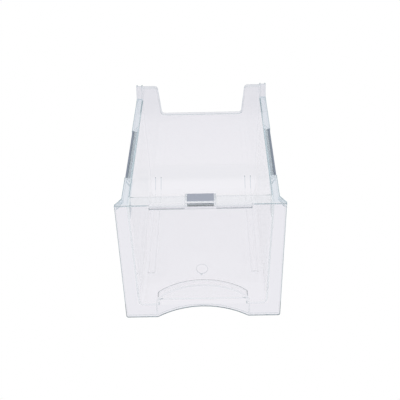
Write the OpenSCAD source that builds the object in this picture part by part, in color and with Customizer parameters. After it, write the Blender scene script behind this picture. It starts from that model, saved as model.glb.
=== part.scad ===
// Clear refrigerator drawer with a wide front panel, side rims that hang on
// the cabinet's ledges, tall rear stops and three clipped-in grey pieces.
// Millimetres. +Z is up, the front panel faces -Y, +X is the drawer's right
// seen from the front. The origin is the centre of the footprint, at the height
// of the front panel's lower edge. Shapes are drawn with y = 0 on the outer
// face of the front panel and then moved so that the footprint is centred.

/* [Overall size] */
// Width across the side rims
rim_width = 220; // [200:1:260]
// Height of the rims above the front panel's lower edge
rim_height = 184; // [150:1:220]
// Depth from the outer face of the front panel to the inside of the rear wall, at rim level
depth = 380; // [320:1:440]
// Thickness of the moulded walls
wall = 2.4; // [2:0.1:3]

/* [Box] */
// Height of the underside of the floor above the front panel's lower edge
floor_lift = 20; // [16:0.5:26]
// How much narrower each side is at the floor than at the rim
side_draft = 8.5; // [4:0.5:12]
// How much the rear wall leans back between the floor and the rim
rear_draft = 3; // [1:0.5:8]
// Inside radius between the floor and the side walls
side_round = 6; // [3:0.5:10]
// Inside radius of the bend between the floor and the rear wall
rear_round = 44; // [12:1:60]

/* [Front panel] */
// Thickness of the front panel
panel_t = 2.6; // [2:0.1:4]
// Half width of the panel at the top
panel_top = 118.5; // [114:0.5:124]
// Half width of the panel at the bottom edge
panel_bottom = 111.5; // [106:0.5:118]
// Width of the stiffening bead behind the panel's edges
bead_w = 2.2; // [1.8:0.1:2.8]
// How far the bead stands out behind the panel
bead_d = 2.4; // [1.5:0.1:4]
// Half width of the finger arch in the bottom edge
arch_half = 65.4; // [50:0.1:75]
// Height of the finger arch at its middle
arch_rise = 17.4; // [12:0.1:19]
// Diameter of the round gate recess
gate_d = 15.4; // [10:0.1:20]
// Height of the gate recess above the front panel's lower edge
gate_z = 81; // [60:1:110]

/* [Finger pocket] */
// Half width of the pocket behind the arch
pocket_half = 65; // [55:0.5:70]
// How far the pocket reaches back from the panel at its middle
pocket_depth = 51.3; // [40:0.1:60]
// Radius of the pocket's rounded back in plan
pocket_r = 82.4; // [76:0.1:100]
// Height of the pocket's top above the front panel's lower edge
pocket_z = 31.4; // [29:0.1:38]

/* [Front top flange] */
// Depth of the flange behind the panel
flange_depth = 26; // [20:0.5:32]
// Half width of the pull lip along the flange's front edge
lip_half = 72; // [50:1:90]
// How far the pull lip stands in front of the panel
lip_out = 4.2; // [3.6:0.1:7]

/* [Rims] */
// Width of each side rim
rim_w = 11; // [9:0.5:14]
// Height of the rim's outer skirt
skirt_h = 7.6; // [5:0.1:10]
// Distance of the glide strip's front end from the panel
strip_front = 88; // [70:1:110]
// Length of each glide strip
strip_len = 164; // [120:1:200]
// Width of each glide strip, seen from above
strip_w = 2.9; // [2.6:0.1:4]
// Height of each glide strip
strip_h = 3.7; // [3.6:0.1:4.5]
// How far the glide strip's lower leg reaches under the rim, from the rim's outer face
strip_under = 8.2; // [4:0.1:8.2]
// How far the glide strip's outer face lies inside the rim's outer face
strip_set = 0.8; // [0:0.1:1]

/* [Rear wall] */
// Half width of the rear cut-out at its bottom
cut_bottom = 67.5; // [55:0.5:72]
// Half width of the rear cut-out at the top of the ears
cut_top = 73.8; // [60:0.1:80]
// How far the cut-out's edge lies below the rims
cut_drop = 26.5; // [15:0.5:40]
// Height of the ears above the rims
ear_h = 23; // [15:0.5:35]
// How far the stiffening edge stands out behind the rear wall
edge_out = 5; // [3:0.5:8]

/* [Centre clip] */
// Half width of the grey clip
clip_half = 18.5; // [15:0.1:25]
// Height of the clip's top above the rims
clip_rise = 4.2; // [3:0.1:6]

/* [Hidden] */

hw = rim_width / 2;
hs = hw - strip_set;                     // outer face of the glide strips
xi = hw - rim_w;                         // inside of the side wall at rim level
zt = rim_height;
zf = floor_lift;
back = depth + wall + edge_out;          // rearmost face, measured from the panel
y_mid = (back - lip_out) / 2;            // moves the footprint's centre to the origin
strip_back = strip_front + strip_len;
gap = 0.15;                              // assembly clearance of the clipped-in pieces
slope_x = side_draft / (zt - zf - wall);
slope_y = rear_draft / (zt - zf - wall);
cheek = 2.6;
seat = clip_half + 0.3;                  // half width of the seat between its cheeks

strip_leg = 0.95;                        // thickness of the strip's upper leg
strip_web = 1.2;                         // thickness of the strip's outer web
clip_f = 2.15;                           // front face of the clip's plate
wall_y = -3.6;                           // front face of the clear wall in front of the clip

// ---- helpers ----
function unit(v) = v / norm(v);
function corner(a, b, c, r, n) = r <= 0 ? [b] :
    let (u = unit(a - b), v = unit(c - b), h = acos(u * v) / 2,
         o = b + unit(u + v) * r / sin(h),
         p = b + u * r / tan(h), q = b + v * r / tan(h),
         s = atan2(p.y - o.y, p.x - o.x), e = atan2(q.y - o.y, q.x - o.x),
         d = (e - s + 540) % 360 - 180)
    [for (i = [0:n]) o + r * [cos(s + d * i / n), sin(s + d * i / n)]];
// polygon whose third coordinate is the radius of each corner
function soft(p, n = 6) = [for (i = [0:len(p) - 1])
    let (a = p[(i + len(p) - 1) % len(p)], b = p[i], c = p[(i + 1) % len(p)])
    each corner([a.x, a.y], [b.x, b.y], [c.x, c.y], b[2], n)];

// outline given as [x, z], drawn out along +Y from y0 to y1
module along_y(y0, y1) translate([0, y1, 0]) rotate([90, 0, 0]) linear_extrude(y1 - y0) children();
// outline given as [y, z], drawn out along +X from x0 to x1
module along_x(x0, x1) translate([x0, 0, 0]) rotate([90, 0, 90]) linear_extrude(x1 - x0) children();
// outline given as [x, y], drawn out along +Z from z0 to z1
module along_z(z0, z1) translate([0, 0, z0]) linear_extrude(z1 - z0) children();
module both_sides() { children(); mirror([1, 0, 0]) children(); }
module block(a, b) translate(a) cube(b - a);

function side_x(z) = xi - (zt - z) * slope_x;     // inner face of the side wall
function rear_y(z) = depth - (zt - z) * slope_y;  // inner face of the rear wall
function panel_x(z) = panel_bottom + (panel_top - panel_bottom) * z / zt;

// ---- box ----
module box_section(off, r, z0, z1)
    polygon(soft([[-side_x(z0) - off, z0, r], [side_x(z0) + off, z0, r],
                  [side_x(z1) + off, z1, 0], [-side_x(z1) - off, z1, 0]]));
module box_profile(y0, off, r, z0, z1)
    polygon(soft([[y0, z0, 0], [rear_y(z0) + off, z0, r], [rear_y(z1) + off, z1, 0], [y0, z1, 0]], 20));

module box_outside() intersection() {
    along_y(panel_t / 2, depth + 20) box_section(wall, side_round + wall, zf, zt);
    along_x(-hw - 5, hw + 5) box_profile(panel_t / 2, wall, rear_round + wall, zf, zt);
}
module box_inside() intersection() {
    along_y(panel_t, depth + 20) box_section(0, side_round, zf + wall, zt + 60);
    along_x(-hw - 5, hw + 5) box_profile(panel_t, 0, rear_round, zf + wall, zt + 60);
}

// ---- front panel ----
arch_r = (arch_half * arch_half + arch_rise * arch_rise) / (2 * arch_rise);
arch_fillet = 6;
fillet_x = sqrt(pow(arch_r + arch_fillet, 2) - pow(arch_fillet + arch_r - arch_rise, 2));

module arch_cut(w = 0) {
    o = [0, arch_rise - arch_r];
    translate(o) circle(r = arch_r + w, $fn = 96);
    both_sides_2d() difference() {
        polygon([[fillet_x, arch_fillet], o + ([fillet_x, arch_fillet] - o) * (arch_r + w) / (arch_r + arch_fillet),
                 [arch_half - 3, -1], [fillet_x, -1]]);
        translate([fillet_x, arch_fillet]) circle(r = arch_fillet - w, $fn = 48);
    }
}
module both_sides_2d() { children(); mirror([1, 0]) children(); }

module panel_outline() difference() {
    polygon(soft([[-panel_bottom, 0, 3], [panel_bottom, 0, 3], [panel_top, zt, 0], [-panel_top, zt, 0]]));
    arch_cut();
}
// the same, narrower by the bead's width on all sides but the top
module panel_field() difference() {
    polygon(soft([[-panel_x(bead_w) + bead_w, bead_w, 3 - bead_w], [panel_x(bead_w) - bead_w, bead_w, 3 - bead_w],
                  [panel_x(zt + 5) - bead_w, zt + 5, 0], [-panel_x(zt + 5) + bead_w, zt + 5, 0]]));
    arch_cut(bead_w);
}
// stiffening bead behind the panel's sides, its lower edge and the arch
module panel_bead() difference() {
    along_y(panel_t - 0.6, panel_t + bead_d) panel_outline();
    along_y(panel_t - 1, panel_t + bead_d + 1) panel_field();
}

module front_panel() difference() {
    along_y(0, panel_t) panel_outline();
    // shallow round recess of the gate
    translate([0, 0.5, gate_z]) rotate([90, 0, 0]) cylinder(d = gate_d, h = 2, $fn = 64);
}
// small nub below the recess
module gate_nub() translate([-1, 0.5, gate_z - gate_d / 2 - 1.2]) rotate([90, 0, 0]) cylinder(d = 2.6, h = 1, $fn = 32);

// ---- finger pocket: a raised, D-shaped part of the floor behind the arch ----
module pocket_plan(inset) {
    r = pocket_r - inset;
    x = pocket_half - inset;
    f = 6 - inset / 2;
    cy = pocket_depth - pocket_r;
    fx = x - f;
    fy = cy + sqrt(pow(r - f, 2) - fx * fx);
    intersection() {
        translate([0, cy]) circle(r = r, $fn = 128);
        translate([-fx, 0]) square([2 * fx, 200]);
    }
    translate([-x, 0]) square([2 * x, fy]);
    both_sides_2d() {
        translate([fx, fy]) circle(r = f, $fn = 48);
        intersection() {
            translate([0, cy]) circle(r = r, $fn = 128);
            polygon([[fx - 1, fy - 1], [fx, fy], [fx, cy] + ([fx, fy] - [fx, cy]) * 1 + [f, f * (fy - cy) / fx], [fx - 1, fy + 20]]);
        }
    }
}

// ---- front top flange, wings and pull lip ----
wing_y = flange_depth - 4;               // where the wing's diagonal meets the rim
wing_n = unit([hw, wing_y] - [panel_top, 3.5]);
module flange_plan() polygon([[-panel_top - 3.5 * (panel_top - hw) / (wing_y - 3.5), 0],
    [panel_top + 3.5 * (panel_top - hw) / (wing_y - 3.5), 0], [hw, wing_y], [hw, flange_depth],
    [-hw, flange_depth], [-hw, wing_y]]);
// web on the wing's diagonal edge, which carries the rim's skirt on to the panel
module wing_web() intersection() {
    along_z(zt - skirt_h, zt - 0.5) difference() {
        flange_plan();
        translate([-wing_n.y, wing_n.x] * wall) flange_plan();
    }
    along_x(hw - 6, 200) polygon([[-1, zt], [-1, zt - skirt_h - 1], [wing_y + 1, zt - skirt_h - 1], [wing_y + 1, zt]]);
}
module flange() intersection() {
    union() {
        difference() {
            along_z(zt - wall, zt) flange_plan();
            // the flange is shorter in the seat, where the clip hooks round it
            block([-clip_half - 0.1, flange_depth - 3.2, zt - 10], [clip_half + 0.1, flange_depth + 5, zt + 1]);
        }
        both_sides() wing_web();
    }
    along_y(-1, flange_depth + 1) polygon([[-panel_bottom, 0], [panel_bottom, 0], [panel_top, zt], [-panel_top, zt]]);
}
// thicker side walls just under the flange
module corner_pads() both_sides() along_y(panel_t - 0.5, flange_depth)
    polygon([[side_x(zt - 21) - 1.1, zt - 21], [side_x(zt - 21) + 1, zt - 21], [side_x(zt - 1) + 1, zt - 1], [side_x(zt - 1) - 1.1, zt - 1]]);

lip_t = 1.8;
// section of the rolled lip, [y, z]; it hooks over the panel and hangs open below
module lip_section()
    polygon(soft([[panel_t + 1.4, zt - 1.2, 0], [panel_t + 1.4, zt, 0], [1.4, zt + 2, 2], [-lip_out, zt + 2, 3.3],
                  [-lip_out, zt - 4.8, 0.85], [-lip_out + lip_t, zt - 4.8, 0.85], [-lip_out + lip_t, zt - 1.2, 1], [0.8, zt - 1.2, 0]], 8));
module lip_plan() polygon(soft([[-lip_half, panel_t + 1.2, 0], [-lip_half, -lip_out - 0.1, 4.5],
                                [lip_half, -lip_out - 0.1, 4.5], [lip_half, panel_t + 1.2, 0]], 8));
module pull_lip() difference() {
    intersection() {
        union() {
            along_x(-lip_half - 1, lip_half + 1) lip_section();
            // closed ends
            both_sides() block([lip_half - 2.4, -lip_out + 1, zt - 4], [lip_half + 1, 0.8, zt]);
        }
        along_z(zt - 10, zt + 5) lip_plan();
        along_y(-10, 10) polygon(soft([[-lip_half, zt - 4.8, 2.4], [lip_half, zt - 4.8, 2.4], [lip_half, zt + 5, 0], [-lip_half, zt + 5, 0]], 8));
    }
    // lower in front of the clip and level under it
    block([-seat - cheek, -lip_out - 1, zt - 0.6], [seat + cheek, wall_y, zt + 5]);
    block([-seat, clip_f - gap, zt], [seat, panel_t + 5, zt + 5]);
}
// clear frame round the clip: a cheek on each side and a wall in front, as high as the clip
module clip_frame() {
    both_sides() along_x(seat, seat + cheek)
        polygon(soft([[wall_y, zt - 1, 0], [wall_y, zt + clip_rise, 0.4], [flange_depth, zt + clip_rise, 1.2], [flange_depth, zt - 1, 0]]));
    along_x(-seat - 0.5, seat + 0.5)
        polygon(soft([[wall_y, zt - 1, 0], [wall_y, zt + clip_rise, 0.4], [clip_f - gap, zt + clip_rise, 0], [clip_f - gap, zt - 1, 0]]));
}

// ---- rims ----
module rim() {
    // plate
    difference() {
        block([xi, flange_depth - 2, zt - wall], [hw, depth + 1, zt]);
        // set back and lowered where the glide strip sits
        block([hs - strip_web - gap, strip_front - 0.2, zt - 10], [hw + 1, strip_back + 0.2, zt + 1]);
        block([hs - strip_w - gap, strip_front - 0.2, zt - strip_leg - gap], [hw + 1, strip_back + 0.2, zt + 1]);
    }
    // outer skirt in front of and behind the strip
    block([hw - wall, wing_y, zt - skirt_h], [hw, strip_front - 0.2, zt]);
    block([hw - wall, strip_back + 0.2, zt - skirt_h], [hw, depth + wall, zt]);
    // end stops that keep the strip in place: a cross web and a slanted web each
    for (y = [strip_front - 2.2, strip_back + 0.2]) block([xi + 1, y, zt - skirt_h], [hw - 1, y + 2, zt]);
    along_z(zt - skirt_h + 1, zt) polygon([[xi + 1, strip_front - 20], [xi + 3.4, strip_front - 20], [hw - 1, strip_front - 3], [hw - 1, strip_front - 0.6], [hw - 3, strip_front - 0.6]]);
    along_z(zt - skirt_h + 1, zt) polygon([[xi + 1, strip_back + 17], [xi + 3.4, strip_back + 17], [hw - 1, strip_back + 2.4], [hw - 1, strip_back + 0.6], [hw - 3, strip_back + 0.6]]);
}

// ---- rear wall above the box, with its ears ----
cz = zt - cut_drop;
ez = zt + ear_h;
strip_top = ez + 2.5;
cut_dir = unit([cut_top - cut_bottom, ez - cz]);
cut_n = [cut_dir.y, -cut_dir.x] * wall;
function cut_line(z) = cut_bottom + cut_n.x + (z - cz - cut_n.y) * cut_dir.x / cut_dir.y;
function reversed(p) = [for (i = [len(p) - 1:-1:0]) p[i]];
function mirrored(p) = [for (q = p) [-q.x, q.y]];
// right half of the cut-out's edge, [x, z], and the same a wall's thickness further in
edge_pts = concat(corner([0, cz], [cut_bottom, cz], [cut_top, ez], 5, 8),
                  corner([cut_bottom, cz], [cut_top, ez], [xi + 1, ez], 5.9, 8));
inner_pts = concat(corner([0, cz - wall], [cut_line(cz - wall), cz - wall], [cut_line(ez - wall), ez - wall], 5 + wall, 8),
                   corner([cut_line(cz - wall), cz - wall], [cut_line(ez - wall), ez - wall], [xi + 1, ez - wall], 3.5, 8));

module rear_slab(x0, x1, z0, z1)
    along_x(x0, x1) polygon([[rear_y(z0), z0], [rear_y(z0) + wall, z0], [rear_y(z1) + wall, z1], [rear_y(z1), z1]]);
module ears() both_sides() {
    intersection() {
        rear_slab(40, hw, zt - 8, strip_top);
        along_y(depth - 20, depth + 20)
            polygon(soft([[40, zt - 8, 0], [xi + wall, zt - 8, 0], [xi + wall, zt - wall, 0], [hw - 0.4, zt - wall, 0],
                          [hw - 0.4, strip_top, 1.2], [xi, strip_top, 0.8], [xi, strip_top - 1, 0], [40, strip_top - 1, 0]]));
    }
    // upright ribs behind the outer part of each ear
    for (x = [xi, hw - 0.4 - 2.2]) block([x, depth, zt - wall], [x + 2.2, back, strip_top - 0.4]);
    block([xi, depth, zt - wall], [hw - 0.4, back, zt]);
}
module rear_cut() along_y(depth - 30, depth + 30)
    polygon(concat(mirrored(reversed(edge_pts)), edge_pts, [[xi, ez], [xi, ez + 40], [-xi, ez + 40], [-xi, ez]]));
// stiffening edge that stands out behind the wall along the cut-out and the ears' tops
module rear_edge() along_y(depth + 1, back)
    polygon(concat(mirrored(reversed(edge_pts)), edge_pts, [[xi + 1, ez], [xi + 1, ez - wall]],
                   reversed(inner_pts), mirrored(inner_pts), [[-xi - 1, ez - wall], [-xi - 1, ez]]));
// shallow bare field on the front face of each ear
module ear_field() both_sides() block([cut_top + 4, depth - 5, ez - 11.5], [xi - 4, depth + 0.75, ez - 4]);

// ---- floor ribs: a raised frame on each side that runs up the rear bend ----
module floor_ribs() both_sides() difference() {
    intersection() {
        difference() {
            along_x(73, 84) box_profile(panel_t, 0.6, rear_round + 0.6, zf + wall - 0.6, zt);
            along_x(72, 85) box_profile(panel_t - 1, -1.3, rear_round - 1.3, zf + wall + 1.3, zt + 1);
        }
        block([70, 85, zf], [90, rear_y(zf) - rear_round * 0.17, zt]);
    }
    block([74.3, 86.3, zf], [82.7, depth, zt]);
}
// small webs that tie the panel's lower edge to the floor beside the arch
module panel_webs() both_sides() along_x(arch_half + 0.5, arch_half + 2)
    polygon([[panel_t - 1, 2], [panel_t, 2], [18, zf + 1], [panel_t - 1, zf + 1]]);

module drawer_body() color([0.86, 0.91, 0.94, 0.35]) translate([0, -y_mid, 0]) {
    difference() {
        union() {
            difference() {
                union() {
                    box_outside();
                    ears();
                }
                box_inside();
                rear_cut();
                ear_field();
            }
            front_panel();
            panel_bead();
            gate_nub();
            flange();
            corner_pads();
            pull_lip();
            clip_frame();
            both_sides() rim();
            rear_edge();
            floor_ribs();
            panel_webs();
            intersection() {
                along_z(zf, pocket_z) pocket_plan(0);
                block([-100, panel_t / 2, 0], [100, 100, 60]);
            }
        }
        // the pocket is hollow underneath
        intersection() {
            along_z(zf - 1, pocket_z - wall) pocket_plan(wall);
            block([-100, panel_t, 0], [100, 100, 60]);
        }
    }
}

// ---- grey clip in the middle of the front flange ----
module front_clip() color([0.62, 0.64, 0.69]) translate([0, -y_mid, 0]) {
    y1 = flange_depth - 0.4;
    top = zt + clip_rise;
    difference() {
        // a plate with a hook round the flange's rear edge
        along_x(-clip_half, clip_half)
            polygon(soft([[clip_f, zt + gap, 0], [clip_f, top, 0.5], [y1, top, 0.8], [y1, zt - wall - 1.9, 0.4],
                          [y1 - 5, zt - wall - 1.9, 0.4], [y1 - 5, zt - wall - gap, 0], [y1 - 2.7, zt - wall - gap, 0],
                          [y1 - 2.7, zt + gap, 0]]));
        // hollow underneath
        block([-clip_half + 1.8, clip_f + 1.8, zt - 1], [clip_half - 1.8, y1 - 4.6, top - 1.8]);
    }
}

// ---- grey strips that wrap round the outer edge of each rim ----
module glide_strip() color([0.50, 0.54, 0.58])
    along_y(strip_front, strip_back)
        polygon(soft([[hs, zt - strip_h, 0.5], [hs, zt, 0.5], [hs - strip_w, zt, 0.3], [hs - strip_w, zt - strip_leg, 0],
                      [hs - strip_web, zt - strip_leg, 0], [hs - strip_web, zt - wall - gap, 0],
                      [hw - strip_under, zt - wall - gap, 0], [hw - strip_under, zt - strip_h, 0.3]], 4));
module right_glide_strip() translate([0, -y_mid, 0]) glide_strip();
module left_glide_strip() translate([0, -y_mid, 0]) mirror([1, 0, 0]) glide_strip();

drawer_body();
front_clip();
left_glide_strip();
right_glide_strip();
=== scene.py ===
import math

import bpy
from mathutils import Matrix, Vector

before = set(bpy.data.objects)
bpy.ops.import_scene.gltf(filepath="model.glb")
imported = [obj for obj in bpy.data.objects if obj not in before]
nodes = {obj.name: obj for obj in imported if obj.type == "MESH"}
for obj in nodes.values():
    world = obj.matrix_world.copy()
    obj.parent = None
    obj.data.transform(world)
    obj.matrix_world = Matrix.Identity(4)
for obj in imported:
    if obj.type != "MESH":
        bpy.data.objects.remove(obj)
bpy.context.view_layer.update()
scene = bpy.context.scene


# ---------------------------------------------------------------- materials
def new_material(name):
    m = bpy.data.materials.new(name)
    m.use_nodes = True
    t = m.node_tree
    t.nodes.clear()
    return m, t


def add(tree, kind, x=0, y=0, **values):
    n = tree.nodes.new(kind)
    n.location = (x, y)
    for k, v in values.items():
        if k in n.inputs:
            n.inputs[k].default_value = v
        else:
            setattr(n, k, v)
    return n


EDGE_R = 0.0009
EDGE_D = 0.0020
LIP_D = 0.0009
EAR_D = 0.0014
# tones of the edges: painted shade, one tint per region
T_PLAIN = (0.50, 0.56, 0.59)      # rear edge
T_RIM = (0.17, 0.29, 0.33)        # side rims
T_EAR = (0.58, 0.64, 0.68)        # tall rear stops
T_SIDE = (0.20, 0.28, 0.30)       # the panel's sides
T_TOP = (0.20, 0.31, 0.35)        # its upper edge beside the lip
T_FOOT = (0.02, 0.045, 0.05)      # the panel's lower edge and its arch
T_POCKET = (0.03, 0.05, 0.055)    # upper edge of the finger pocket
T_FLOOR = (0.64, 0.71, 0.75)      # floor ribs and the beads behind the panel
T_MARK = (0.40, 0.46, 0.50)       # gate mark
T_BACK = (0.90, 0.92, 0.94)       # rear edge of the flange
# tones of the walls themselves: painted light and shade, the one clear plastic tinted zone by zone
B_PLAIN = (0.995, 0.985, 0.99)
B_PANEL = (0.90, 0.895, 0.92)
B_MARGIN = (0.845, 0.845, 0.88)   # the panel outside and below the box
B_REAR = (0.86, 0.86, 0.875)
B_RIM = (0.70, 0.78, 0.83)
B_SEAT = (0.42, 0.56, 0.62)
B_LINE = (0.42, 0.54, 0.60)        # inner edge of the rim in front of the strip
B_WING = (0.34, 0.45, 0.49)
B_FLANGE = (0.915, 0.935, 0.94)
B_PAD = (0.12, 0.20, 0.24)
# painted shade: the lip's lower edge is drawn dark in place of the internal reflection that darkens it
B_LIP = (0.045, 0.095, 0.12)        # darkest at the lip's lower edge
# painted shade: a dark line drawn along the panel's lower edge and arch
B_FOOT = (0.19, 0.27, 0.29)       # outermost millimetre of the panel's lower edge and arch
ARCH_Z, ARCH_R = -0.1142, 0.1316  # the arch's circle


def step(t, socket, lo, hi):
    n = add(t, "ShaderNodeMapRange", -1400, 0)
    n.interpolation_type = "SMOOTHSTEP"
    n.inputs["From Min"].default_value = lo
    n.inputs["From Max"].default_value = hi
    t.links.new(socket, n.inputs["Value"])
    return n.outputs["Result"]


def calc(t, op, a, b=None):
    n = add(t, "ShaderNodeMath", -1200, 0, operation=op)
    for k, v in enumerate((a, b)):
        if v is None:
            continue
        if isinstance(v, float):
            n.inputs[k].default_value = v
        else:
            t.links.new(v, n.inputs[k])
    return n.outputs["Value"]


def blend(t, fac, a, b):
    n = add(t, "ShaderNodeMix", -700, 300, data_type="RGBA")
    t.links.new(fac, n.inputs[0])
    for k, v in ((6, a), (7, b)):
        if isinstance(v, tuple):
            n.inputs[k].default_value = (*v, 1)
        else:
            t.links.new(v, n.inputs[k])
    return n.outputs[2]


def clear_plastic():
    m, t = new_material("clear_moulded_plastic")
    out = add(t, "ShaderNodeOutputMaterial", 600)
    p = add(t, "ShaderNodeBsdfPrincipled", 300)
    p.inputs["Transmission Weight"].default_value = 1.0
    p.inputs["IOR"].default_value = 1.57
    vol = add(t, "ShaderNodeVolumeAbsorption", 300, -400)
    vol.inputs["Color"].default_value = (0.74, 0.90, 0.90, 1)
    vol.inputs["Density"].default_value = 1.0
    tc = add(t, "ShaderNodeTexCoord", -1800)
    sep = add(t, "ShaderNodeSeparateXYZ", -1600)
    t.links.new(tc.outputs["Object"], sep.inputs["Vector"])
    # where on the drawer the surface lies
    x, y, z = calc(t, "ABSOLUTE", sep.outputs["X"]), sep.outputs["Y"], sep.outputs["Z"]

    def zone(*limits):
        """1 between the limits (socket, low, high), with a soft border of half a millimetre"""
        out = None
        for socket, lo, hi in limits:
            for one in ([step(t, socket, lo - 0.00025, lo + 0.00025)] if lo is not None else []) + \
                       ([step(t, socket, hi + 0.00025, hi - 0.00025)] if hi is not None else []):
                out = one if out is None else calc(t, "MULTIPLY", out, one)
        return out

    face = zone((y, None, -0.1904))
    side = calc(t, "MULTIPLY", face, zone((z, 0.024, 0.180)))
    top = zone((x, 0.0735, None), (y, None, -0.1880), (z, 0.1805, None))
    foot = calc(t, "MULTIPLY", face, zone((z, None, 0.024)))
    margin = calc(t, "MAXIMUM", zone((calc(t, "SUBTRACT", x, calc(t, "MULTIPLY", z, 0.04)), 0.0935, None)), zone((z, None, 0.0215)))
    margin = calc(t, "MULTIPLY", margin, face)
    mark = zone((x, None, 0.013), (y, None, -0.1880), (z, 0.060, 0.100))
    bead = zone((y, -0.1904, -0.1860), (z, None, 0.176))
    pocket = zone((y, -0.1860, -0.134), (z, 0.0275, 0.035))
    ribs = zone((y, -0.134, None), (z, None, 0.060))
    base = zone((z, None, 0.0270), (y, -0.1860, None))
    back = zone((x, None, 0.0985), (y, -0.168, -0.160), (z, 0.178, 0.1845))
    flange = zone((x, 0.0150, 0.0990), (y, -0.1885, -0.1640), (z, 0.1780, None))
    rim = zone((x, 0.0950, None), (y, -0.1904, None), (z, 0.1730, 0.1875))
    ear = zone((y, 0.180, None), (z, 0.1875, None))
    lip = zone((y, None, -0.1870), (z, 0.1785, None), (x, None, 0.0735))
    # painted shade at the lip's lower edge, darkest at the bottom and fading out upwards over about 4 mm
    painted_lip_shade = calc(t, "MULTIPLY", zone((y, None, -0.1930), (z, 0.1770, 0.1850), (x, 0.0218, 0.0735)),
               step(t, z, 0.1832, 0.1788))
    arch = add(t, "ShaderNodeCombineXYZ", -1400, 0)
    t.links.new(x, arch.inputs["X"])
    t.links.new(calc(t, "SUBTRACT", z, ARCH_Z), arch.inputs["Z"])
    far = add(t, "ShaderNodeVectorMath", -1200, 0, operation="LENGTH")
    t.links.new(arch.outputs["Vector"], far.inputs[0])
    # painted shade along the panel's lower edge and along its arch
    painted_foot_shade = calc(t, "MAXIMUM", calc(t, "MULTIPLY", step(t, far.outputs["Value"], ARCH_R + 0.0016, ARCH_R + 0.0009), zone((x, None, 0.0625))),
                    step(t, z, 0.0016, 0.0009))
    painted_foot_shade = calc(t, "MULTIPLY", painted_foot_shade, face)
    field = zone((x, 0.0770, 0.0960), (y, 0.185, None), (z, 0.1945, 0.2038))
    strip = zone((y, -0.1040, 0.0608))
    plate = zone((x, 0.0990, None), (z, 0.1735, 0.1875), (y, -0.1890, None))
    plate = calc(t, "MULTIPLY", plate, calc(t, "SUBTRACT", 1.0, strip))
    seat = calc(t, "MULTIPLY", strip, zone((x, 0.0988, 0.1018), (z, 0.1735, 0.1875)))
    line = zone((x, None, 0.1003), (y, -0.1660, -0.1040), (z, 0.1735, 0.1875))
    roof = zone((y, -0.1850, -0.1340), (z, 0.0295, 0.0350))
    wall = calc(t, "MULTIPLY", zone((y, 0.165, None)), step(t, z, 0.140, 0.180))
    slant = calc(t, "ADD", calc(t, "MULTIPLY", calc(t, "SUBTRACT", x, 0.1100), 0.9086),
                 calc(t, "MULTIPLY", calc(t, "ADD", y, 0.1696), 0.4175))
    wing = zone((slant, -0.0024, None), (z, 0.1735, None), (x, 0.1085, None), (y, -0.1900, -0.1690))
    pad = zone((x, 0.0940, 0.0986), (y, -0.1895, -0.1655), (z, 0.1640, 0.1815))
    # painted shade along the edges: near convex edges the wall takes a darker blue-green, the plastic's own tint
    # deepened to stand in for the refraction and internal reflection that darken clear edges
    bev = add(t, "ShaderNodeBevel", -900, 100)
    bev.samples = 4
    bev.inputs["Radius"].default_value = EDGE_R
    ao = add(t, "ShaderNodeAmbientOcclusion", -900, 300)
    ao.samples = 8
    ao.inside = True
    ao.only_local = True
    reach = calc(t, "MULTIPLY", lip, LIP_D - EDGE_D)
    reach = calc(t, "ADD", reach, calc(t, "MULTIPLY", ear, EAR_D - EDGE_D))
    t.links.new(calc(t, "ADD", reach, EDGE_D), ao.inputs["Distance"])
    edge = add(t, "ShaderNodeMapRange", -400, 300)
    edge.inputs["From Min"].default_value = 0.97
    edge.inputs["From Max"].default_value = 0.62
    geo = add(t, "ShaderNodeNewGeometry", -400, 600)
    t.links.new(ao.outputs["AO"], edge.inputs["Value"])
    # painted shade: each region's edges get their own tint, from near black at the panel's lower edge to near white
    # along the flange's rear edge
    tone = T_PLAIN
    for where, what in ((ribs, T_FLOOR), (base, (0.96, 0.97, 0.98)), (pocket, T_POCKET), (back, T_BACK), (rim, T_RIM), (ear, T_EAR),
                        (bead, T_FLOOR), (side, T_SIDE), (top, T_TOP), (foot, T_FOOT), (mark, T_MARK), (field, (0.9, 0.92, 0.93))):
        tone = blend(t, where, tone, what)
    # painted light and shade: each zone of the one clear moulding is tinted lighter or darker to stand in for the
    # light seen through it there
    body = B_PLAIN
    for where, what in ((face, B_PANEL), (margin, B_MARGIN), (flange, B_FLANGE), (wall, B_REAR), (roof, (0.965, 0.96, 0.965)), (plate, B_RIM), (line, B_LINE),
                        (seat, B_SEAT), (wing, B_WING), (pad, B_PAD),
                        (painted_lip_shade, B_LIP), (painted_foot_shade, B_FOOT)):
        body = blend(t, where, body, what)
    outer = calc(t, "SUBTRACT", 1.0, geo.outputs["Backfacing"])
    t.links.new(blend(t, outer, (1.0, 1.0, 1.0), blend(t, edge.outputs["Result"], body, tone)), p.inputs["Base Color"])
    # the floor and the sides are duller than the front
    dull = calc(t, "MULTIPLY", calc(t, "MAXIMUM", zone((z, None, 0.0236), (y, -0.134, None)),
                                    zone((x, 0.0880, None), (y, -0.1640, 0.150), (z, 0.0236, 0.1700))), 0.09)
    t.links.new(calc(t, "ADD", dull, 0.03), p.inputs["Roughness"])
    # faint waviness of a moulded wall
    noise = add(t, "ShaderNodeTexNoise", -300, -200)
    noise.inputs["Scale"].default_value = 18.0
    noise.inputs["Detail"].default_value = 2.0
    bump = add(t, "ShaderNodeBump", 0, -200)
    bump.inputs["Strength"].default_value = 0.06
    bump.inputs["Distance"].default_value = 0.0006
    t.links.new(tc.outputs["Object"], noise.inputs["Vector"])
    t.links.new(noise.outputs["Fac"], bump.inputs["Height"])
    t.links.new(bev.outputs["Normal"], bump.inputs["Normal"])
    t.links.new(bump.outputs["Normal"], p.inputs["Normal"])
    t.links.new(p.outputs["BSDF"], out.inputs["Surface"])
    t.links.new(vol.outputs["Volume"], out.inputs["Volume"])
    return m


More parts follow.
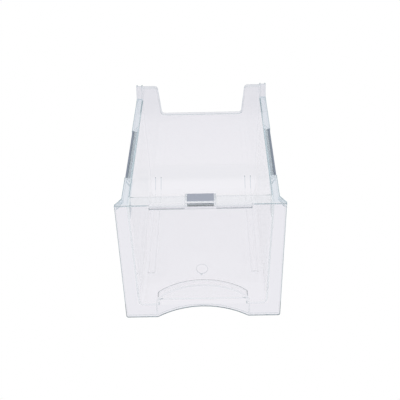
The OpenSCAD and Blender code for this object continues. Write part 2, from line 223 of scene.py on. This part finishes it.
def grey_plastic(name, colour, roughness, scale, under_painted_light=None, front=None):
    m, t = new_material(name)
    out = add(t, "ShaderNodeOutputMaterial", 600)
    p = add(t, "ShaderNodeBsdfPrincipled", 300)
    tc = add(t, "ShaderNodeTexCoord", -900)
    grain = add(t, "ShaderNodeTexNoise", -600, -200)
    grain.inputs["Scale"].default_value = scale
    grain.inputs["Detail"].default_value = 3.0
    ramp = add(t, "ShaderNodeValToRGB", -300, 100)
    ramp.color_ramp.elements[0].position = 0.3
    ramp.color_ramp.elements[1].position = 0.7
    ramp.color_ramp.elements[0].color = (*[c * 0.93 for c in colour], 1)
    ramp.color_ramp.elements[1].color = (*[min(c * 1.07, 1) for c in colour], 1)
    rr = add(t, "ShaderNodeMapRange", -300, -100)
    rr.inputs["To Min"].default_value = roughness - 0.06
    rr.inputs["To Max"].default_value = roughness + 0.06
    bump = add(t, "ShaderNodeBump", 0, -300)
    bump.inputs["Strength"].default_value = 0.25
    bump.inputs["Distance"].default_value = 0.00015
    t.links.new(tc.outputs["Object"], grain.inputs["Vector"])
    t.links.new(grain.outputs["Fac"], ramp.inputs["Fac"])
    t.links.new(grain.outputs["Fac"], rr.inputs["Value"])
    t.links.new(grain.outputs["Fac"], bump.inputs["Height"])
    tint = ramp.outputs["Color"]
    # painted light: the strip is one grey plastic, but inboard of 106 mm, where it runs beneath the clear rim, it is
    # drawn near white to stand in for the light seen there through the rim
    if under_painted_light:
        sep = add(t, "ShaderNodeSeparateXYZ", -600, 400)
        t.links.new(tc.outputs["Object"], sep.inputs["Vector"])
        tint = blend(t, step(t, calc(t, "ABSOLUTE", sep.outputs["X"]), 0.1064, 0.1060), tint, under_painted_light)
    # painted light on the clip's front: the front face is drawn lighter blue-grey with near-white bands above and
    # below its middle, and its lowest part at the front near white, standing in for light that the lamps do not bring
    # there
    if front:
        sep = add(t, "ShaderNodeSeparateXYZ", -600, 400)
        t.links.new(tc.outputs["Object"], sep.inputs["Vector"])
        tint = blend(t, step(t, sep.outputs["Y"], -0.1888, -0.1892), tint,
                     blend(t, calc(t, "MAXIMUM", step(t, sep.outputs["Z"], 0.1863, 0.1871),
                                   step(t, sep.outputs["Z"], 0.1855, 0.1849)), front, (0.95, 0.97, 1.0)))
        painted_light_leg = calc(t, "MULTIPLY", step(t, sep.outputs["Z"], 0.1843, 0.1840), step(t, sep.outputs["Y"], -0.1673, -0.1676))
        tint = blend(t, painted_light_leg, tint, (0.95, 0.97, 1.0))
    t.links.new(tint, p.inputs["Base Color"])
    t.links.new(rr.outputs["Result"], p.inputs["Roughness"])
    t.links.new(bump.outputs["Normal"], p.inputs["Normal"])
    t.links.new(p.outputs["BSDF"], out.inputs["Surface"])
    return m


clear = clear_plastic()
clip_grey = grey_plastic("clip_grey_plastic", (0.338, 0.352, 0.41), 0.42, 900.0, None, (0.52, 0.58, 0.68))
strip_grey = grey_plastic("strip_grey_plastic", (0.20, 0.225, 0.28), 0.45, 900.0, (0.81, 0.92, 1.0))


def wear(obj, material):
    obj.data.materials.clear()
    obj.data.materials.append(material)


for name, material in (("drawer_body", clear), ("front_clip", clip_grey),
                       ("left_glide_strip", strip_grey), ("right_glide_strip", strip_grey)):
    o = nodes[name]
    wear(o, material)


# ---------------------------------------------------------------- floor, light and camera
PIVOT = Vector((0.0, 0.0050 - 0.1916, 0.0))    # the panel's lower rear edge, on which the drawer stands
LEAN = math.radians(3.47)                       # and it leans back until the rear bend touches too


NEAR = (0.90, 0.895, 0.925)
BEHIND = (0.83, 0.825, 0.87)
FAR = (0.38, 0.45, 0.48)


def floor():
    size = 8.0
    me = bpy.data.meshes.new("floor")
    s = size / 2
    me.from_pydata([(-s, -s, 0), (s, -s, 0), (s, s, 0), (-s, s, 0)], [], [(0, 1, 2, 3)])
    o = bpy.data.objects.new("floor", me)
    scene.collection.objects.link(o)
    o.location = PIVOT - Vector((0, 0, 0.0002))
    o.rotation_euler = (LEAN, 0, 0)
    m, t = new_material("floor_white")
    out = add(t, "ShaderNodeOutputMaterial", 900)
    # the pale floor glows, as painted light: camera rays see it plain white, while rays that come through the drawer's
    # walls see it bright near the drawer and dim far away
    tc = add(t, "ShaderNodeTexCoord", -1300)
    sep = add(t, "ShaderNodeSeparateXYZ", -1100)
    grade = add(t, "ShaderNodeMapRange", -500)
    grade.interpolation_type = "SMOOTHSTEP"
    grade.inputs["From Min"].default_value = 0.15
    grade.inputs["From Max"].default_value = 0.75
    tint = add(t, "ShaderNodeValToRGB", -300)
    tint.color_ramp.elements[0].color = (*NEAR, 1)
    tint.color_ramp.elements[1].color = (*BEHIND, 1)
    parts = []
    for axis, sign, lo, hi in (("X", 1, 0.42, 0.85), ("X", -1, 0.42, 0.85), ("Y", 1, 3.0, 3.9), ("Y", -1, 0.75, 1.3)):
        mr = add(t, "ShaderNodeMapRange", -800, -200 * len(parts) - 200)
        mr.interpolation_type = "SMOOTHSTEP"
        mr.inputs["From Min"].default_value = sign * lo
        mr.inputs["From Max"].default_value = sign * hi
        t.links.new(sep.outputs[axis], mr.inputs["Value"])
        parts.append(mr.outputs["Result"])
    far = parts[0]
    for k, other in enumerate(parts[1:]):
        mx = add(t, "ShaderNodeMath", -500, -200 * k - 300, operation="MAXIMUM")
        t.links.new(far, mx.inputs[0])
        t.links.new(other, mx.inputs[1])
        far = mx.outputs["Value"]
    fade = add(t, "ShaderNodeMix", -50, -300, data_type="RGBA")
    fade.inputs[7].default_value = (*FAR, 1)
    t.links.new(far, fade.inputs[0])
    t.links.new(tint.outputs["Color"], fade.inputs[6])
    inner = add(t, "ShaderNodeEmission", 100, -200)
    inner.inputs["Strength"].default_value = 1.0
    outer = add(t, "ShaderNodeEmission", 100, 0)
    outer.inputs["Color"].default_value = (1, 1, 1, 1)
    outer.inputs["Strength"].default_value = 1.0
    path = add(t, "ShaderNodeLightPath", 100, 400)
    mix = add(t, "ShaderNodeMixShader", 500)
    t.links.new(tc.outputs["Object"], sep.inputs["Vector"])
    t.links.new(sep.outputs["Y"], grade.inputs["Value"])
    t.links.new(grade.outputs["Result"], tint.inputs["Fac"])
    t.links.new(fade.outputs[2], inner.inputs["Color"])
    t.links.new(path.outputs["Is Camera Ray"], mix.inputs["Fac"])
    t.links.new(inner.outputs["Emission"], mix.inputs[1])
    t.links.new(outer.outputs["Emission"], mix.inputs[2])
    t.links.new(mix.outputs["Shader"], out.inputs["Surface"])
    me.materials.append(m)
    return o


floor()

W_FRONT = (0.42, 0.49, 0.52)
W_BACK = (0.86, 0.87, 0.90)
W_TOP = (0.90, 0.93, 0.97)

world = bpy.data.worlds.new("studio")
scene.world = world
world.use_nodes = True
wt = world.node_tree
wt.nodes.clear()
w_out = add(wt, "ShaderNodeOutputWorld", 600)
w_bg = add(wt, "ShaderNodeBackground", 400)
w_bg.inputs["Strength"].default_value = 1.0
w_tc = add(wt, "ShaderNodeTexCoord", -900)
w_sep = add(wt, "ShaderNodeSeparateXYZ", -700)
wt.links.new(w_tc.outputs["Generated"], w_sep.inputs["Vector"])


def w_range(socket, lo, hi, y):
    n = add(wt, "ShaderNodeMapRange", -400, y)
    n.interpolation_type = "SMOOTHSTEP"
    n.inputs["From Min"].default_value = lo
    n.inputs["From Max"].default_value = hi
    wt.links.new(socket, n.inputs["Value"])
    return n.outputs["Result"]


def w_mix(fac, a, b, y):
    n = add(wt, "ShaderNodeMix", 0, y, data_type="RGBA")
    wt.links.new(fac, n.inputs[0])
    for k, v in ((6, a), (7, b)):
        if isinstance(v, tuple):
            n.inputs[k].default_value = (*v, 1)
        else:
            wt.links.new(v, n.inputs[k])
    return n.outputs[2]


# a bright wall behind the drawer, a dim room in front of it and beside it, a soft pale ceiling
around = w_mix(w_range(w_sep.outputs["Y"], 0.05, 0.6, 0), W_FRONT, W_BACK, 0)
sky = w_mix(w_range(w_sep.outputs["Z"], 0.65, 0.95, -300), around, W_TOP, -300)
wt.links.new(sky, w_bg.inputs["Color"])
wt.links.new(w_bg.outputs["Background"], w_out.inputs["Surface"])


def area(name, location, target, sx, sy, power, colour=(1, 1, 1)):
    d = bpy.data.lights.new(name, "AREA")
    d.shape = "RECTANGLE"
    d.size, d.size_y = sx, sy
    d.energy = power
    d.color = colour
    o = bpy.data.objects.new(name, d)
    scene.collection.objects.link(o)
    o.location = location
    o.rotation_mode = "QUATERNION"
    o.rotation_quaternion = (Vector(target) - Vector(location)).to_track_quat("-Z", "Y")
    o.visible_glossy = False
    o.visible_transmission = False
    return o


area("key", (-0.3, -0.9, 1.7), (0, -0.1, 0.15), 1.2, 0.7, 9.0)
area("fill", (1.3, 0.5, 1.4), (0, 0, 0.1), 1.2, 1.0, 3.0)

cam_data = bpy.data.cameras.new("camera")
cam = bpy.data.objects.new("camera", cam_data)
scene.collection.objects.link(cam)
scene.camera = cam
cam_data.sensor_width = 36.0
cam_data.lens = 90.0
cam_data.clip_start, cam_data.clip_end = 0.05, 50.0
right = Vector((0.9997, 0.0037, -0.0221)).normalized()
ahead = Vector((-0.0136, 0.8840, -0.4674)).normalized()
up = right.cross(ahead).normalized()
right = ahead.cross(up).normalized()
turn = Matrix((right, up, -ahead)).transposed().to_4x4()
cam.matrix_world = Matrix.Translation((0.0181, -1.2054 - 0.1916, 0.8286)) @ turn

scene.view_settings.view_transform = "Standard"
scene.view_settings.look = "None"
scene.cycles.use_denoising = True
scene.cycles.max_bounces = 64
scene.cycles.transmission_bounces = 64
scene.cycles.diffuse_bounces = 4
scene.cycles.glossy_bounces = 64
# light that is caught in a wall comes out with the studio's own tone after a few reflections
scene.cycles.use_fast_gi = True
scene.cycles.fast_gi_method = "REPLACE"
scene.cycles.ao_bounces = 3
scene.cycles.ao_bounces_render = 3
world.light_settings.distance = 0.0004
world.light_settings.ao_factor = 1.0
